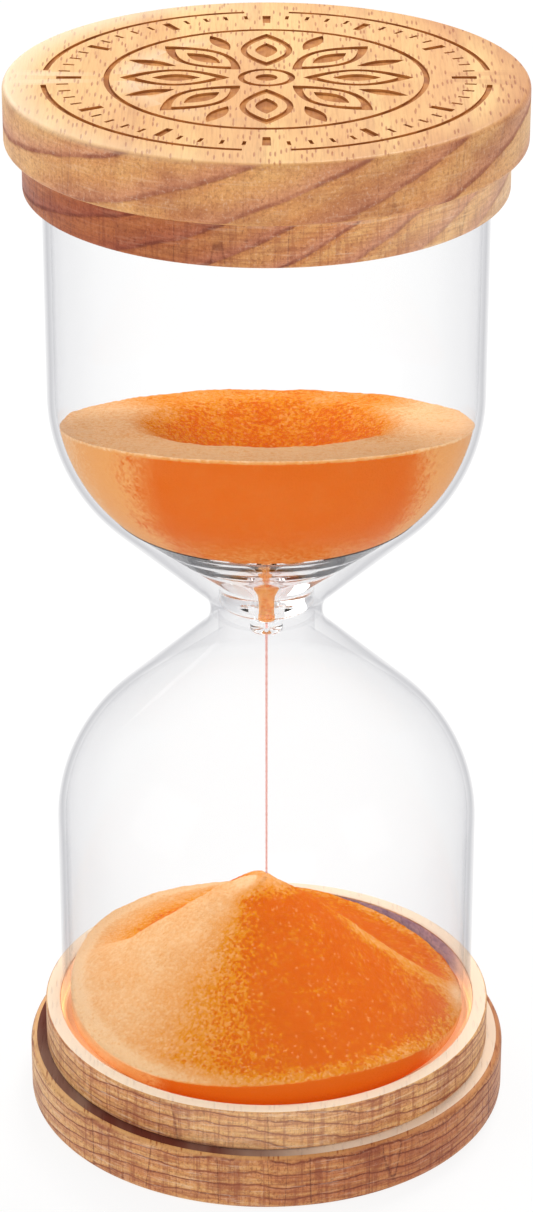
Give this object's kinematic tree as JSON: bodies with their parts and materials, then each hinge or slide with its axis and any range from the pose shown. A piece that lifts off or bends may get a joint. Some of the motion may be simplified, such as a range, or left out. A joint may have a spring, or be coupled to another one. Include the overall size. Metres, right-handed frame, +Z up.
{
  "type": "sand timer",
  "caption": "Upright sand timer: two blown glass bulbs joined at a narrow throat, orange sand, stepped round beech caps at both ends.",
  "frame": {"origin": "centre of the flat underside of the bottom disc, on the surface that the timer stands on", "axes": "+Z up along the axis of the glass, -Y towards the viewer of the engraved top, +X to the viewer's right"},
  "size_m": [0.072, 0.072, 0.16],
  "materials": {
    "beech": "satin",
    "glass": "polished",
    "silicone": "satin",
    "foam": "matte",
    "sand": "matte"
  },
  "bodies": {
    "root": {"bottom_disc": "beech", "bottom_collar": "beech", "bottom_cushion": "foam", "bottom_bond": "silicone", "top_disc": "beech", "top_collar": "beech", "top_cushion": "foam", "top_bond": "silicone", "fill_stopper": "silicone", "upper_bulb": "glass", "lower_bulb": "glass", "throat_block": "glass", "sand_upper": "sand", "sand_lower": "sand", "sand_stream": "sand"}
  },
  "joints": []
}
